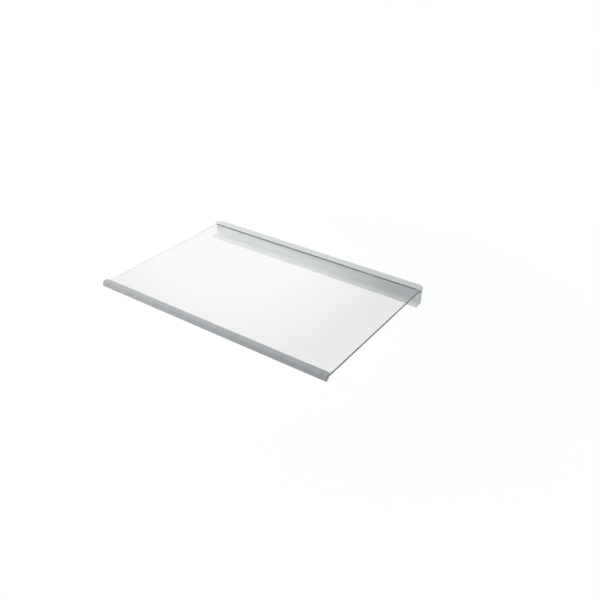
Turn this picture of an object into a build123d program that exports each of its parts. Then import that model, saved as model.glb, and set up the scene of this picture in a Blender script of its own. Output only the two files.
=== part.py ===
from build123d import *
import os

# Shelf for a refrigerator: a glass panel with a moulded trim pushed on its front and rear edges.
# Millimetres. X runs along the shelf, Y towards the rear, Z up.
# The origin is the middle of the glass panel's underside, the plane that lies on the side ledges.

# Glass panel
glass_width = 520.0
glass_depth = 338.0
glass_thickness = 4.0
glass_corner_radius = 3.0
glass_arris = 0.4

# Both trims
end_overhang = 2.0

# Front trim: a channel with a leaning, rounded nose and closed ends
front_lip_reach = 12.6
front_lip_edge = 1.2
front_crest_height = 4.6
front_crest_length = 9.9
front_crest_radius = 7.0
front_nose_reach = 4.0
front_nose_lean = 2.8
front_nose_radius = 5.0
front_foot_radius = 0.8
front_under_reach = 3.4
front_under_thickness = 2.2
front_under_slope = 4.6
front_end_round = 0.7
front_slot_play = 0.2

# Rear trim: lip, flange, apron and foot in one section
rear_lip_reach = 5.5
rear_lip_thickness = 2.3
rear_lip_gap = 1.6
rear_pad_length = 8.0
rear_seal_setback = 0.4
rear_flange_reach = 10.9
rear_flange_corner_run = 14.0
rear_flange_corner_drop = 7.6
rear_flange_edge_round = 1.0
rear_wall = 2.2
rear_rib_reach = 5.0
rear_rib_thickness = 1.8
rear_apron_drop = 27.3
rear_foot_reach = 20.8
rear_foot_thickness = 2.0
rear_heel_radius = 3.0
rear_inner_radius = 1.0
rear_edge_round = 0.6

# Places that follow from the values above
half_width = glass_width / 2
trim_half = half_width + end_overhang
glass_front = -glass_depth / 2
glass_rear = glass_depth / 2
glass_top = glass_thickness

# A box set out behind and above its place, to the same length on both sides
behind_and_above = (Align.CENTER, Align.MIN, Align.MIN)


def along_x(section, half_length):
    """A section drawn in Y and Z, run along X to the same length on both sides."""
    return extrude(section, amount=half_length, both=True)


def eased(section, rounds):
    """The section with each corner in rounds, a list of (y, z, radius), rounded to its radius."""
    for y, z, radius in rounds:
        corner = section.vertices().sort_by_distance(Vector(0, y, z))[0]
        section = fillet(corner, radius)
    return section


def drawn(points):
    """A flat face in the YZ plane from its corners in Y and Z."""
    return make_face(Plane.YZ * Polyline(*points, close=True))


def is_outside(rim):
    """True for an end edge of the front trim above its lip or ahead of the glass, where a hand meets it."""
    return rim.center().Z > glass_top + front_lip_edge or rim.center().Y < glass_front


# Glass panel: a flat sheet with eased corners and ground edges
glass_outline = Rectangle(glass_width, glass_depth)
glass_outline = fillet(glass_outline.vertices(), glass_corner_radius)
glass_panel = extrude(glass_outline, amount=glass_thickness)
glass_faces = glass_panel.faces().sort_by(Axis.Z)
glass_panel = chamfer(glass_faces[0].edges() + glass_faces[-1].edges(), glass_arris)

# Front trim: the outline of the whole nosing, with a slot for the glass that stops short of the closed ends
lip_back = glass_front + front_lip_reach
nose_face = glass_front - front_nose_reach
nose_top = nose_face + front_nose_lean
crest_top = glass_top + front_crest_height
crest_back = nose_face + front_crest_length
under_back = glass_front + front_under_reach
front_foot = -front_under_thickness
front_section = drawn(
    [
        (lip_back, glass_top),
        (lip_back, glass_top + front_lip_edge),
        (crest_back, crest_top),
        (nose_top, crest_top),
        (nose_face, front_foot),
        (under_back - front_under_slope, front_foot),
        (under_back, 0),
        (under_back, glass_top),
    ]
)
front_section = eased(
    front_section,
    [
        (crest_back, crest_top, front_crest_radius),
        (nose_top, crest_top, front_nose_radius),
        (nose_face, front_foot, front_foot_radius),
    ],
)
front_body = along_x(front_section, trim_half)
front_ends = front_body.faces().sort_by(Axis.X)
front_rims = front_ends[0].edges() + front_ends[-1].edges()
front_body = fillet(front_rims.filter_by(is_outside), front_end_round)
slot_half = half_width + front_slot_play
slot = Box(2 * slot_half, glass_depth, glass_thickness, align=behind_and_above)
front_trim = front_body - Pos(0, glass_front, 0) * slot

# Rear trim: one section along the whole length. The lip stands clear of the glass between a pad at each end,
# and the flange's rear edge curves forward at both ends.
lip_front = glass_rear - rear_lip_reach
flange_top = glass_top + rear_lip_thickness
apron_back = glass_rear + rear_wall
flange_back = apron_back + rear_flange_reach
rib_front = glass_rear - rear_rib_reach
foot_bottom = -rear_apron_drop
foot_top = foot_bottom + rear_foot_thickness
foot_front = apron_back - rear_foot_reach
rear_section = drawn(
    [
        (lip_front, glass_top),
        (lip_front, flange_top),
        (flange_back, flange_top),
        (flange_back, glass_top),
        (apron_back, glass_top),
        (apron_back, foot_bottom),
        (foot_front, foot_bottom),
        (foot_front, foot_top),
        (glass_rear, foot_top),
        (glass_rear, -rear_rib_thickness),
        (rib_front, -rear_rib_thickness),
        (rib_front, 0),
        (glass_rear, 0),
        (glass_rear, glass_top),
    ]
)
rear_section = eased(
    rear_section,
    [
        (lip_front, flange_top, rear_edge_round),
        (apron_back, glass_top, rear_inner_radius),
        (apron_back, foot_bottom, rear_heel_radius),
        (foot_front, foot_bottom, rear_edge_round),
        (foot_front, foot_top, rear_edge_round),
        (glass_rear, foot_top, rear_inner_radius),
        (glass_rear, -rear_rib_thickness, rear_inner_radius),
        (rib_front, -rear_rib_thickness, rear_edge_round),
    ],
)
rear_trim = along_x(rear_section, trim_half)
corner_radius = (rear_flange_corner_run**2 + rear_flange_corner_drop**2) / (2 * rear_flange_corner_drop)
plan_half = trim_half - rear_flange_corner_run + corner_radius
flange_plan = Rectangle(2 * plan_half, 2 * flange_back)
flange_plan = fillet(flange_plan.vertices(), corner_radius)
rear_trim = rear_trim & extrude(flange_plan, amount=rear_apron_drop + flange_top, both=True)
flange_rim = rear_trim.edges().group_by(Axis.Z)[-1].sort_by(Axis.Y)[-1]
rear_trim = fillet(flange_rim, rear_flange_edge_round)
gap_half = trim_half - rear_pad_length
lip_gap = Box(2 * gap_half, rear_lip_reach, rear_lip_gap, align=behind_and_above)
rear_trim = rear_trim - Pos(0, lip_front, glass_top) * lip_gap

# Rear seal: a soft strip that fills the gap between lip and glass, set back a little from the lip's front edge
seal_depth = rear_lip_reach - rear_seal_setback
rear_seal = Box(2 * gap_half, seal_depth, rear_lip_gap, align=behind_and_above)
rear_seal = Pos(0, lip_front + rear_seal_setback, glass_top) * rear_seal

os.makedirs("parts", exist_ok=True)
export_step(glass_panel, "parts/glass_panel.step")
export_step(front_trim, "parts/front_trim.step")
export_step(rear_trim, "parts/rear_trim.step")
export_step(rear_seal, "parts/rear_seal.step")
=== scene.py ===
import math

import bpy
import numpy as np
from mathutils import Matrix, Vector


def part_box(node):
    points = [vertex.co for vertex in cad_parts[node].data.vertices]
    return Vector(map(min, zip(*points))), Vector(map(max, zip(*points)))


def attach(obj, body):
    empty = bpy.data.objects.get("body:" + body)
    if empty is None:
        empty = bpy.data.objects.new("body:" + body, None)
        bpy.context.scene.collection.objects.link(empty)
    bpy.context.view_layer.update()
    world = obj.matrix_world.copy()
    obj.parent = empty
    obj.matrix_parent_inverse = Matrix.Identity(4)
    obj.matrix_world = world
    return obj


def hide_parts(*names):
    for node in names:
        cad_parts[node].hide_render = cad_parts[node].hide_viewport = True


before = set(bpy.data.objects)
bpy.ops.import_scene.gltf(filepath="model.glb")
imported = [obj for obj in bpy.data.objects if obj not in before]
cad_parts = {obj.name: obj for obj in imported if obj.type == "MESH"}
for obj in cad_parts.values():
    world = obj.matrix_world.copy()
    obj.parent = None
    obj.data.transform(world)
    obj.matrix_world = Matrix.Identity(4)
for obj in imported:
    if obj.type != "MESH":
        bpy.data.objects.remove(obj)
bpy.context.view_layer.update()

# A glass refrigerator shelf with a bull-nosed front trim, and a rear trim that has a flange, an apron
# and a foot. Metres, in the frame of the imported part: X along the shelf, Y to the rear, Z up, zero at
# the glass's underside.

MM = 0.001

glass_low, glass_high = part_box("glass_panel")
front_low, front_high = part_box("front_trim")
rear_low, rear_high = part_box("rear_trim")
seal_low, seal_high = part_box("rear_seal")

# Fineness of the surfaces
ARC_STEPS = 9
END_STEPS = 7
FLANGE_STEPS = 16
LONG_STEPS = 16
SMOOTH_ANGLE = math.radians(38)

# Glass sheet
GLASS_CORNER = 3.0 * MM
GLASS_ARRIS = 0.4 * MM
GLASS_CLEARANCE = 0.05 * MM

# Corners that are crisp on the real mouldings still have a small round
CRISP = 0.2 * MM

# Where a slot or a gap stops, its end wall leans by this much
END_LEAN = 0.3 * MM

# Front trim
FRONT_LIP_EDGE = 1.2 * MM
FRONT_CREST_LENGTH = 9.9 * MM
FRONT_CREST_ROUND = 7.0 * MM
FRONT_NOSE_REACH = 4.0 * MM
FRONT_NOSE_LEAN = 2.8 * MM
FRONT_NOSE_ROUND = 5.0 * MM
FRONT_FOOT_ROUND = 0.8 * MM
FRONT_UNDER_REACH = 3.4 * MM
FRONT_UNDER_SLOPE = 4.6 * MM
FRONT_END_ROUND = 0.7 * MM
FRONT_SLOT_PLAY = 0.2 * MM
FRONT_CHEEK_EASE = 0.4 * MM

# Rear trim
REAR_LIP_REACH = 5.5 * MM
REAR_LIP_ROUND = 0.4 * MM
REAR_LIP_GAP = 1.6 * MM
REAR_PAD_LENGTH = 8.0 * MM
REAR_WALL = 2.2 * MM
REAR_RIB_REACH = 5.0 * MM
REAR_RIB_THICKNESS = 1.8 * MM
REAR_FOOT_THICKNESS = 2.0 * MM
REAR_EDGE_ROUND = 0.6 * MM
REAR_HEEL_ROUND = 3.0 * MM
REAR_INNER_ROUND = 1.0 * MM
REAR_CORNER_RUN = 14.0 * MM
REAR_CORNER_DROP = 7.6 * MM
REAR_FLANGE_EDGE = 1.0 * MM
REAR_END_ROUND = 0.3 * MM

# Seal under the rear lip; its near-black colour also paints the shade of the gap there
SEAL_ROUND = 0.3 * MM


def unit(vectors):
    """Vectors divided by their own length."""
    return vectors / np.linalg.norm(vectors, axis=-1, keepdims=True)


def moved_in(corners, shift):
    """An anticlockwise outline with each side moved inwards.

    corners is (..., n, 3): two coordinates and a radius. Side i runs from corner i to the next one and
    moves by shift[..., i]. A corner goes to the point where its two moved sides meet: with the inward
    normals a and b of the sides before and after it, the step s solves s.a = shift before and
    s.b = shift after.
    """
    point = corners[..., :2]
    along = unit(np.roll(point, -1, axis=-2) - point)
    normal = np.stack([-along[..., 1], along[..., 0]], axis=-1)
    sides = np.stack([np.roll(normal, 1, axis=-2), normal], axis=-2)
    shifts = np.stack([np.roll(shift, 1, axis=-1), shift], axis=-1)
    step = np.linalg.solve(sides, shifts[..., None])[..., 0]
    radius = np.maximum(corners[..., 2] - shifts.max(axis=-1), CRISP)
    return np.concatenate([point + step, radius[..., None]], axis=-1)


def rounded(corners):
    """The outline's points, with an arc at each corner.

    The arc of a corner with half angle h and radius r starts and ends r / tan h from the corner, on its
    two sides. Its centre lies on the bisector, r / sin h away. The points between are the two end spokes
    of the arc blended by sines, which keeps their length, over the turn of 180 degrees less 2h.
    """
    point = corners[..., :2]
    radius = corners[..., 2:]
    before = unit(np.roll(point, 1, axis=-2) - point)
    after = unit(np.roll(point, -1, axis=-2) - point)
    half = np.arccos(np.clip((before * after).sum(axis=-1, keepdims=True), -1, 1)) / 2
    centre = point + unit(before + after) * radius / np.sin(half)
    first = point + before * radius / np.tan(half) - centre
    last = point + after * radius / np.tan(half) - centre
    turn = (math.pi - 2 * half)[..., None, :]
    share = np.linspace(0, 1, ARC_STEPS)[:, None]
    spokes = np.sin((1 - share) * turn) * first[..., None, :] + np.sin(share * turn) * last[..., None, :]
    arcs = centre[..., None, :] + spokes / np.sin(turn)
    return arcs.reshape(*arcs.shape[:-3], -1, 2)


def end_inset(distance, radius):
    """How far a surface is drawn in near its end: the radius less the height of a quarter circle."""
    left = np.clip(radius - distance, 0, radius)
    return radius - np.sqrt(radius**2 - left**2)


def mirrored(half):
    """Places along X from end to end, from the places of the right half, which start at zero."""
    return np.concatenate([-half[:0:-1], half])


def quarter(end, radius, steps):
    """Places that divide a quarter circle of the given radius, which stops at end, into equal turns."""
    turn = np.linspace(0, math.pi / 2, steps)
    return end - radius + radius * np.sin(turn)


def skin(name, rows, materials):
    """A closed piece from rows of points (rows, points round, 3).

    Row after row is joined by four-sided faces round the loop, and a flat face closes the first and the
    last row.
    """
    count, around = rows.shape[:2]
    index = np.arange(count * around).reshape(count, around)
    here = index[:-1]
    there = index[1:]
    sides = np.stack([here, np.roll(here, -1, 1), np.roll(there, -1, 1), there], axis=-1).reshape(-1, 4)
    faces = sides.tolist() + [index[0, ::-1].tolist(), index[-1].tolist()]
    mesh = bpy.data.meshes.new(name)
    mesh.from_pydata(rows.reshape(-1, 3).tolist(), [], faces)
    mesh.shade_smooth()
    mesh.set_sharp_from_angle(angle=SMOOTH_ANGLE)
    for material in materials:
        mesh.materials.append(material)
    piece = bpy.data.objects.new(name, mesh)
    bpy.context.scene.collection.objects.link(piece)
    weighted = piece.modifiers.new("even_shading", "WEIGHTED_NORMAL")
    weighted.keep_sharp = True
    return piece


def along_x(places, outline):
    """Rows of points: an outline in Y and Z at each place along X."""
    x = np.broadcast_to(places[:, None, None], (*outline.shape[:2], 1))
    return np.concatenate([x, outline], axis=-1)


def front_nosing(material):
    """The front trim: a channel with a leaning, rounded nose, closed at both ends.

    The section is carried along X. Towards an end its slope, crest, nose and foot are drawn in by a
    quarter circle. The last two corners are the slot's wall over the length of the glass, and past it
    they move back to the under edge, which closes the slot.
    """
    slot_low = glass_low.z - GLASS_CLEARANCE
    slot_high = glass_high.z + GLASS_CLEARANCE
    slot_wall = glass_low.y - GLASS_CLEARANCE
    nose_face = glass_low.y - FRONT_NOSE_REACH
    under_back = glass_low.y + FRONT_UNDER_REACH
    outside = [
        (front_high.y, slot_high, CRISP),
        (front_high.y, glass_high.z + FRONT_LIP_EDGE, CRISP),
        (nose_face + FRONT_CREST_LENGTH, front_high.z, FRONT_CREST_ROUND),
        (nose_face + FRONT_NOSE_LEAN, front_high.z, FRONT_NOSE_ROUND),
        (nose_face, front_low.z, FRONT_FOOT_ROUND),
        (under_back - FRONT_UNDER_SLOPE, front_low.z, CRISP),
        (under_back, slot_low, CRISP),
    ]
    slot = [(slot_wall, slot_low, CRISP), (slot_wall, slot_high, CRISP)]
    cheek = [
        (under_back, slot_high - FRONT_CHEEK_EASE, CRISP),
        (under_back + FRONT_CHEEK_EASE, slot_high, CRISP),
    ]
    drawn_sides = np.array([0, 1, 1, 1, 1, 0, 0, 0, 0])

    slot_half = glass_high.x + FRONT_SLOT_PLAY
    middle = np.linspace(0, slot_half, LONG_STEPS)
    end = quarter(front_high.x, FRONT_END_ROUND, END_STEPS)
    places = mirrored(np.concatenate([middle, [slot_half + END_LEAN], end]))

    slotted = np.abs(places)[:, None, None] <= slot_half
    corners = np.where(slotted, np.array(outside + slot), np.array(outside + cheek))
    inset = end_inset(front_high.x - np.abs(places), FRONT_END_ROUND)
    outline = rounded(moved_in(corners, inset[:, None] * drawn_sides))
    return skin("front_nosing", along_x(places, outline), [material])


def rear_rail(material):
    """The rear trim: lip, flange, apron, rib and foot in one section, carried along X.

    The lip stands clear of the glass over the middle and rests on it at a pad near each end. There the
    flange's rear edge follows an arc in plan: with its run along X and its drop along Y, its radius is
    (run squared + drop squared) / (2 drop). A small quarter circle draws in the whole outline at the
    cut end.
    """
    slot_low = glass_low.z - GLASS_CLEARANCE
    slot_high = glass_high.z + GLASS_CLEARANCE
    slot_wall = glass_high.y + GLASS_CLEARANCE
    apron_back = glass_high.y + REAR_WALL
    lip_front = glass_high.y - REAR_LIP_REACH
    rib_front = glass_high.y - REAR_RIB_REACH
    rib_low = glass_low.z - REAR_RIB_THICKNESS
    foot_high = rear_low.z + REAR_FOOT_THICKNESS
    corners = np.array(
        [
            (lip_front, rear_high.z, REAR_LIP_ROUND),
            (lip_front, slot_high, CRISP),
            (slot_wall, slot_high, CRISP),
            (slot_wall, slot_low, CRISP),
            (rib_front, slot_low, CRISP),
            (rib_front, rib_low, REAR_EDGE_ROUND),
            (glass_high.y, rib_low, REAR_INNER_ROUND),
            (glass_high.y, foot_high, REAR_INNER_ROUND),
            (rear_low.y, foot_high, REAR_EDGE_ROUND),
            (rear_low.y, rear_low.z, REAR_EDGE_ROUND),
            (apron_back, rear_low.z, REAR_HEEL_ROUND),
            (apron_back, glass_high.z, REAR_INNER_ROUND),
            (rear_high.y, glass_high.z, CRISP),
            (rear_high.y, rear_high.z, REAR_FLANGE_EDGE),
        ]
    )
    lip_under = [1, 2]
    flange_back = [12, 13]

    arc_radius = (REAR_CORNER_RUN**2 + REAR_CORNER_DROP**2) / (2 * REAR_CORNER_DROP)
    arc_start = rear_high.x - REAR_CORNER_RUN
    turn = np.linspace(0, math.asin(REAR_CORNER_RUN / arc_radius), FLANGE_STEPS)
    gap_half = rear_high.x - REAR_PAD_LENGTH
    middle = np.linspace(0, arc_start, LONG_STEPS, endpoint=False)
    bend = arc_start + arc_radius * np.sin(turn)
    end = quarter(rear_high.x, REAR_END_ROUND, END_STEPS)
    right_half = np.concatenate([middle, [gap_half, gap_half + END_LEAN], bend[bend < end[0]], end])
    places = mirrored(np.unique(right_half))

    outline = np.broadcast_to(corners, (len(places), *corners.shape)).copy()
    raised = np.where(np.abs(places) <= gap_half, REAR_LIP_GAP - GLASS_CLEARANCE, 0)
    outline[:, lip_under, 1] += raised[:, None]
    into_arc = np.maximum(np.abs(places) - arc_start, 0)
    pull = arc_radius - np.sqrt(arc_radius**2 - into_arc**2)
    outline[:, flange_back, 0] -= pull[:, None]
    inset = end_inset(rear_high.x - np.abs(places), REAR_END_ROUND)
    outline = moved_in(outline, np.repeat(inset[:, None], len(corners), axis=1))
    return skin("rear_rail", along_x(places, rounded(outline)), [material])


def seal_and_gap_shade_strip(material):
    """The seal between the rear lip and the glass: a soft-edged bar along X, clear of both by a hair. Its
    near-black colour also paints the shade of the gap under the lip.
    """
    low = seal_low.z + GLASS_CLEARANCE
    high = seal_high.z - GLASS_CLEARANCE
    back = seal_high.y - GLASS_CLEARANCE
    corners = np.array(
        [
            (seal_low.y, low, SEAL_ROUND),
            (back, low, SEAL_ROUND),
            (back, high, SEAL_ROUND),
            (seal_low.y, high, SEAL_ROUND),
        ]
    )
    places = np.linspace(seal_low.x, seal_high.x, LONG_STEPS)
    outline = np.broadcast_to(rounded(corners), (len(places), 4 * ARC_STEPS, 2))
    return skin("seal_and_gap_shade_strip", along_x(places, outline), [material])


def glass_sheet(face_material, edge_material):
    """The glass: a rectangle with rounded corners, carried up Z and drawn in at both rims by the arris.

    The two flat faces, which come last, are clear, and the rest is ground.
    """
    corners = np.array(
        [
            (glass_low.x, glass_low.y, GLASS_CORNER),
            (glass_high.x, glass_low.y, GLASS_CORNER),
            (glass_high.x, glass_high.y, GLASS_CORNER),
            (glass_low.x, glass_high.y, GLASS_CORNER),
        ]
    )
    heights = np.array(
        [glass_low.z, glass_low.z + GLASS_ARRIS, glass_high.z - GLASS_ARRIS, glass_high.z]
    )
    inset = np.array([GLASS_ARRIS, 0, 0, GLASS_ARRIS])
    plan = rounded(moved_in(np.broadcast_to(corners, (4, 4, 3)), np.repeat(inset[:, None], 4, axis=1)))
    z = np.broadcast_to(heights[:, None, None], (*plan.shape[:2], 1))
    piece = skin("glass_sheet", np.concatenate([plan, z], axis=-1), [face_material, edge_material])
    slots = np.ones(len(piece.data.polygons), dtype=np.int32)
    slots[-2:] = 0
    piece.data.polygons.foreach_set("material_index", slots)
    piece.visible_shadow = False
    piece.visible_diffuse = False
    return piece


def shader(name):
    """A new material with its node tree and its Principled shader."""
    material = bpy.data.materials.new(name)
    material.use_nodes = True
    tree = material.node_tree
    return material, tree, tree.nodes["Principled BSDF"]


def add(tree, kind, **values):
    """A node of that kind, with the inputs named by values set (underscores stand for spaces)."""
    made = tree.nodes.new(kind)
    for name, value in values.items():
        made.inputs[name.replace("_", " ")].default_value = value
    return made


def colour_blend(tree, factor, first, second):
    """The colour that runs from first to second as the factor goes from 0 to 1."""
    blend = tree.nodes.new("ShaderNodeMix")
    blend.data_type = "RGBA"
    ends = [socket for socket in blend.inputs if socket.type == "RGBA"]
    ends[0].default_value = (*first, 1)
    ends[1].default_value = (*second, 1)
    tree.links.new(factor, blend.inputs["Factor"])
    return [socket for socket in blend.outputs if socket.type == "RGBA"][0]


# Moulded surfaces: the scale along X that draws the lines out, and the share of clouding in the tone
LINE_STRETCH = 0.012
CLOUD_SHARE = 0.45


def moulding_group():
    """Shared surface of the mouldings and the seal.

    Tone blends drawn lines along X with slow clouding, and Height is a fine grain, each from 0 to 1.
    """
    group = bpy.data.node_groups.new("Moulded surface", "ShaderNodeTree")
    interface = group.interface
    interface.new_socket("Lines", in_out="INPUT", socket_type="NodeSocketFloat")
    interface.new_socket("Grain", in_out="INPUT", socket_type="NodeSocketFloat")
    interface.new_socket("Tone", in_out="OUTPUT", socket_type="NodeSocketFloat")
    interface.new_socket("Height", in_out="OUTPUT", socket_type="NodeSocketFloat")
    source = group.nodes.new("NodeGroupInput")
    result = group.nodes.new("NodeGroupOutput")
    place = group.nodes.new("ShaderNodeTexCoord")
    stretch = add(group, "ShaderNodeMapping", Scale=(LINE_STRETCH, 1, 1))
    lines = add(group, "ShaderNodeTexNoise", Detail=3, Roughness=0.6)
    cloud = add(group, "ShaderNodeTexNoise", Scale=24, Detail=2)
    grain = add(group, "ShaderNodeTexNoise", Detail=1)
    blend = group.nodes.new("ShaderNodeMix")
    blend.inputs["Factor"].default_value = CLOUD_SHARE
    links = group.links
    links.new(place.outputs["Object"], stretch.inputs["Vector"])
    links.new(stretch.outputs["Vector"], lines.inputs["Vector"])
    links.new(source.outputs["Lines"], lines.inputs["Scale"])
    links.new(place.outputs["Object"], cloud.inputs["Vector"])
    links.new(place.outputs["Object"], grain.inputs["Vector"])
    links.new(source.outputs["Grain"], grain.inputs["Scale"])
    links.new(lines.outputs["Fac"], blend.inputs["A"])
    links.new(cloud.outputs["Fac"], blend.inputs["B"])
    links.new(blend.outputs["Result"], result.inputs["Tone"])
    links.new(grain.outputs["Fac"], result.inputs["Height"])
    return group


def moulded_plastic(name, group, dark, light, gloss, lines, grain):
    """Satin plastic: the tone runs between two close colours and two roughnesses, over a fine bump."""
    material, tree, surface = shader(name)
    moulding = tree.nodes.new("ShaderNodeGroup")
    moulding.node_tree = group
    moulding.inputs["Lines"].default_value = lines
    moulding.inputs["Grain"].default_value = grain
    colour = colour_blend(tree, moulding.outputs["Tone"], dark, light)
    roughness = add(tree, "ShaderNodeMapRange", To_Min=gloss[0], To_Max=gloss[1])
    bump = add(tree, "ShaderNodeBump", Strength=0.04, Distance=0.03 * MM)
    links = tree.links
    links.new(colour, surface.inputs["Base Color"])
    links.new(moulding.outputs["Tone"], roughness.inputs["Value"])
    links.new(roughness.outputs["Result"], surface.inputs["Roughness"])
    links.new(moulding.outputs["Height"], bump.inputs["Height"])
    links.new(bump.outputs["Normal"], surface.inputs["Normal"])
    surface.inputs["IOR"].default_value = 1.5
    return material


def clear_glass():
    """Toughened glass: clear, with the faint waves of the rollers and a trace of haze from wiping."""
    material, tree, surface = shader("clear_glass")
    surface.inputs["Base Color"].default_value = (0.935, 0.94, 0.938, 1)
    surface.inputs["Transmission Weight"].default_value = 1
    surface.inputs["IOR"].default_value = 1.52
    place = tree.nodes.new("ShaderNodeTexCoord")
    wave = add(tree, "ShaderNodeTexWave", Scale=3, Distortion=1.5)
    wave.bands_direction = "X"
    bump = add(tree, "ShaderNodeBump", Strength=1, Distance=0.02 * MM)
    wipe = add(tree, "ShaderNodeTexNoise", Scale=9, Detail=3)
    haze = add(tree, "ShaderNodeMapRange", To_Max=0.02)
    links = tree.links
    links.new(place.outputs["Object"], wave.inputs["Vector"])
    links.new(wave.outputs["Fac"], bump.inputs["Height"])
    links.new(bump.outputs["Normal"], surface.inputs["Normal"])
    links.new(place.outputs["Object"], wipe.inputs["Vector"])
    links.new(wipe.outputs["Fac"], haze.inputs["Value"])
    links.new(haze.outputs["Result"], surface.inputs["Roughness"])
    return material


def ground_edge():
    """The glass's ground edge: rougher than the faces, with grinding marks that scatter some light."""
    material, tree, surface = shader("ground_glass_edge")
    surface.inputs["Base Color"].default_value = (0.86, 0.93, 0.91, 1)
    surface.inputs["Transmission Weight"].default_value = 0.87
    surface.inputs["IOR"].default_value = 1.52
    place = tree.nodes.new("ShaderNodeTexCoord")
    marks = add(tree, "ShaderNodeTexNoise", Scale=1800, Detail=2)
    satin = add(tree, "ShaderNodeMapRange", To_Min=0.05, To_Max=0.2)
    links = tree.links
    links.new(place.outputs["Object"], marks.inputs["Vector"])
    links.new(marks.outputs["Fac"], satin.inputs["Value"])
    links.new(satin.outputs["Result"], surface.inputs["Roughness"])
    return material


# A count of bounces that is below this is none
NO_BOUNCE = 0.5


def calc(tree, operation, first, second):
    """The result of a math node on two values, each of them a socket or a number."""
    made = tree.nodes.new("ShaderNodeMath")
    made.operation = operation
    for entry, value in zip(made.inputs, (first, second)):
        if isinstance(value, float):
            entry.default_value = value
        else:
            tree.links.new(value, entry)
    return made.outputs[0]


def seen_directly(tree):
    """The light path's outputs, and 1 where the eye looks on with no matt surface in between.

    It may look straight, in a mirror or through glass.
    """
    path = tree.nodes.new("ShaderNodeLightPath").outputs
    mirror = calc(tree, "MAXIMUM", path["Is Glossy Ray"], path["Is Transmission Ray"])
    either = calc(tree, "MAXIMUM", path["Is Camera Ray"], mirror)
    unscattered = calc(tree, "LESS_THAN", path["Diffuse Depth"], NO_BOUNCE)
    return path, calc(tree, "MULTIPLY", either, unscattered)


# The floor lies where the shelf rests on a table: under the foot's front edge and the nose's lower edge.
# To the eye it is white, a little less so near the shelf, where it also takes the lamps and a shadow.
FLOOR_REACH = 6.0
FLOOR_BOUNCE = (0.88, 0.84, 0.84)
FLOOR_SHADE = (0.08, 0.08, 0.08)
FLOOR_GLOW = 0.93
FLOOR_NEAR = 0.45
FLOOR_FAR = 1.2


def pale_floor():
    """The floor's material.

    To the eye it is matt with a steady white glow, for scattered light it is plain matt, and from below
    it is clear.
    """
    material = bpy.data.materials.new("pale_floor")
    material.use_nodes = True
    tree = material.node_tree
    tree.nodes.remove(tree.nodes["Principled BSDF"])
    seen = seen_directly(tree)[1]
    place = tree.nodes.new("ShaderNodeTexCoord")
    distance = tree.nodes.new("ShaderNodeVectorMath")
    distance.operation = "LENGTH"
    tone = colour_blend(tree, seen, FLOOR_BOUNCE, FLOOR_SHADE)
    white = add(tree, "ShaderNodeMapRange", From_Min=FLOOR_NEAR, From_Max=FLOOR_FAR, To_Min=FLOOR_GLOW)
    strength = calc(tree, "MULTIPLY", seen, white.outputs["Result"])
    matt = tree.nodes.new("ShaderNodeBsdfDiffuse")
    glow = tree.nodes.new("ShaderNodeEmission")
    above = tree.nodes.new("ShaderNodeAddShader")
    below = tree.nodes.new("ShaderNodeBsdfTransparent")
    side = tree.nodes.new("ShaderNodeNewGeometry")
    both = tree.nodes.new("ShaderNodeMixShader")
    links = tree.links
    links.new(tone, matt.inputs["Color"])
    links.new(place.outputs["Object"], distance.inputs[0])
    links.new(distance.outputs["Value"], white.inputs["Value"])
    links.new(strength, glow.inputs["Strength"])
    links.new(matt.outputs[0], above.inputs[0])
    links.new(glow.outputs[0], above.inputs[1])
    links.new(side.outputs["Backfacing"], both.inputs["Fac"])
    links.new(above.outputs[0], both.inputs[1])
    links.new(below.outputs[0], both.inputs[2])
    links.new(both.outputs[0], tree.nodes["Material Output"].inputs["Surface"])
    return material


def floor():
    """A wide plane that touches the shelf's nose and rear foot."""
    front = Vector((0, glass_low.y - FRONT_NOSE_REACH + FRONT_FOOT_ROUND, front_low.z))
    rear = Vector((0, rear_low.y + REAR_EDGE_ROUND, rear_low.z))
    slope = (rear - front).normalized()
    across = Vector((1, 0, 0))
    signs = ((-1, -1), (1, -1), (1, 1), (-1, 1))
    spots = [front + FLOOR_REACH * (i * across + j * slope) for i, j in signs]
    mesh = bpy.data.meshes.new("floor")
    mesh.from_pydata([tuple(p) for p in spots], [], [(0, 1, 2, 3)])
    mesh.materials.append(pale_floor())
    plane = bpy.data.objects.new("floor", mesh)
    bpy.context.scene.collection.objects.link(plane)


# The room: white to the eye and through glass, and dim in a mirror apart from one soft white field
# behind the shelf
ROOM_FILL = 0.27
ROOM_TINT = (0.53, 0.86, 1.0)
ROOM_DIM = 0.12
FIELD_AZIMUTH = math.radians(40)
FIELD_ELEVATION = math.radians(20)
FIELD_FULL = math.radians(10.3)
FIELD_NONE = math.radians(16.5)
FIELD_LEVEL = 0.95


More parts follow.
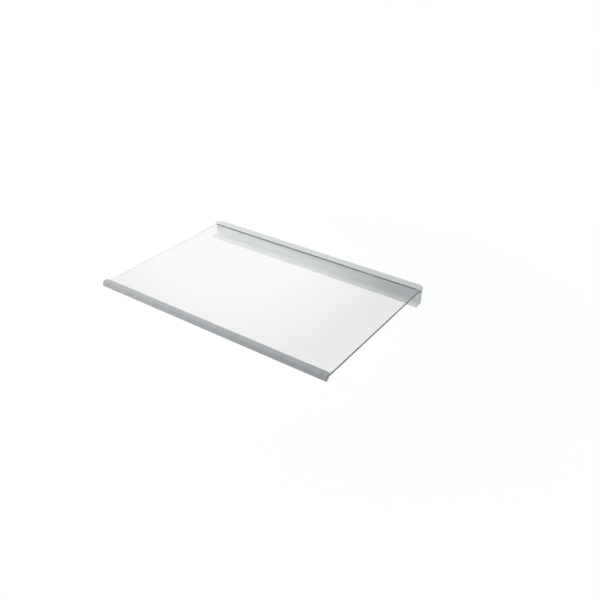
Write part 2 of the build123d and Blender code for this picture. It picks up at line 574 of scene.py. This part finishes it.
def room():
    """The world: fill light for matt surfaces, white for the eye, and a soft field for reflections."""
    world = bpy.data.worlds.new("room")
    world.use_nodes = True
    bpy.context.scene.world = world
    tree = world.node_tree
    back = tree.nodes["Background"]
    path, seen = seen_directly(tree)
    tint = colour_blend(tree, seen, ROOM_TINT, (1, 1, 1))
    place = tree.nodes.new("ShaderNodeTexCoord")
    field = tree.nodes.new("ShaderNodeVectorMath")
    field.operation = "DOT_PRODUCT"
    field.inputs[1].default_value = (
        -math.sin(FIELD_AZIMUTH) * math.cos(FIELD_ELEVATION),
        math.cos(FIELD_AZIMUTH) * math.cos(FIELD_ELEVATION),
        math.sin(FIELD_ELEVATION),
    )
    soft = add(
        tree,
        "ShaderNodeMapRange",
        From_Min=math.cos(FIELD_NONE),
        From_Max=math.cos(FIELD_FULL),
        To_Min=ROOM_DIM,
        To_Max=FIELD_LEVEL,
    )
    unmirrored = calc(tree, "LESS_THAN", path["Glossy Depth"], NO_BOUNCE)
    direct = tree.nodes.new("ShaderNodeMapRange")
    level = add(tree, "ShaderNodeMapRange", To_Min=ROOM_FILL)
    links = tree.links
    links.new(place.outputs["Generated"], field.inputs[0])
    links.new(field.outputs["Value"], soft.inputs["Value"])
    links.new(unmirrored, direct.inputs["Value"])
    links.new(soft.outputs["Result"], direct.inputs["To Min"])
    links.new(seen, level.inputs["Value"])
    links.new(direct.outputs["Result"], level.inputs["To Max"])
    links.new(tint, back.inputs["Color"])
    links.new(level.outputs["Result"], back.inputs["Strength"])


# Lamps: the place, the spot that the lamp faces, the side of its square, its watts and its colour
LAMPS = {
    "left_light": ((-1.6, -0.5, 0.25), (0, 0, 0), 0.5, 21, (1, 0.985, 0.97)),
    "front_light": ((-0.25, -0.25, 0.75), (-0.1, 0.1, 0), 0.5, 3.1, (1, 1, 1)),
    "top_light": ((-0.3, 0.08, 1.3), (0, 0, 0), 0.9, 9.4, (1, 0.9, 0.83)),
}


def softbox(name, place, target, size, power, colour):
    """A square area light that shows in no mirror, so that the glass stays clear."""
    data = bpy.data.lights.new(name, "AREA")
    data.size = size
    data.energy = power
    data.color = colour
    lamp = bpy.data.objects.new(name, data)
    lamp.location = place
    lamp.rotation_euler = (Vector(target) - Vector(place)).to_track_quat("-Z", "Y").to_euler()
    lamp.visible_glossy = False
    lamp.visible_transmission = False
    bpy.context.scene.collection.objects.link(lamp)


# Camera: the photograph's viewing angle
CAMERA_PLACE = (0.70902, -0.89739, 0.67314)
CAMERA_HEADING = math.radians(34.55)
CAMERA_DIP = math.radians(31.54)
CAMERA_ROLL = math.radians(0.50)
CAMERA_LENS = 40.53
CAMERA_SENSOR = 36.0


def camera():
    """The camera, turned by its heading about Z, tipped down by its dip and rolled about its own axis."""
    data = bpy.data.cameras.new("camera")
    data.lens = CAMERA_LENS
    data.sensor_width = CAMERA_SENSOR
    eye = bpy.data.objects.new("camera", data)
    turn = Matrix.Rotation(CAMERA_HEADING, 4, "Z")
    tip = Matrix.Rotation(math.pi / 2 - CAMERA_DIP, 4, "X")
    roll = Matrix.Rotation(CAMERA_ROLL, 4, "Z")
    eye.matrix_world = Matrix.Translation(CAMERA_PLACE) @ turn @ tip @ roll
    bpy.context.scene.collection.objects.link(eye)
    bpy.context.scene.camera = eye


def dress(piece, node):
    """The piece rides with the shelf and stands for its node, which it hides."""
    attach(piece, "root")
    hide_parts(node)


moulding = moulding_group()
front_plastic = moulded_plastic(
    "silver_grey_plastic",
    moulding,
    dark=(0.378, 0.38, 0.386),
    light=(0.412, 0.414, 0.42),
    gloss=(0.2, 0.27),
    lines=900,
    grain=2400,
)
rear_plastic = moulded_plastic(
    "light_grey_plastic",
    moulding,
    dark=(0.655, 0.66, 0.66),
    light=(0.69, 0.695, 0.695),
    gloss=(0.4, 0.5),
    lines=700,
    grain=2200,
)
# Near black: the seal's own colour, which also paints the shade of the gap under the rear lip
seal_and_gap_shade_rubber = moulded_plastic(
    "near_black_seal_and_gap_shade",
    moulding,
    dark=(0.048, 0.05, 0.05),
    light=(0.062, 0.064, 0.064),
    gloss=(0.6, 0.75),
    lines=700,
    grain=2200,
)
dress(front_nosing(front_plastic), "front_trim")
dress(rear_rail(rear_plastic), "rear_trim")
dress(seal_and_gap_shade_strip(seal_and_gap_shade_rubber), "rear_seal")
dress(glass_sheet(clear_glass(), ground_edge()), "glass_panel")

floor()
room()
for lamp_name, lamp_values in LAMPS.items():
    softbox(lamp_name, *lamp_values)
camera()
bpy.context.scene.view_settings.view_transform = "Standard"
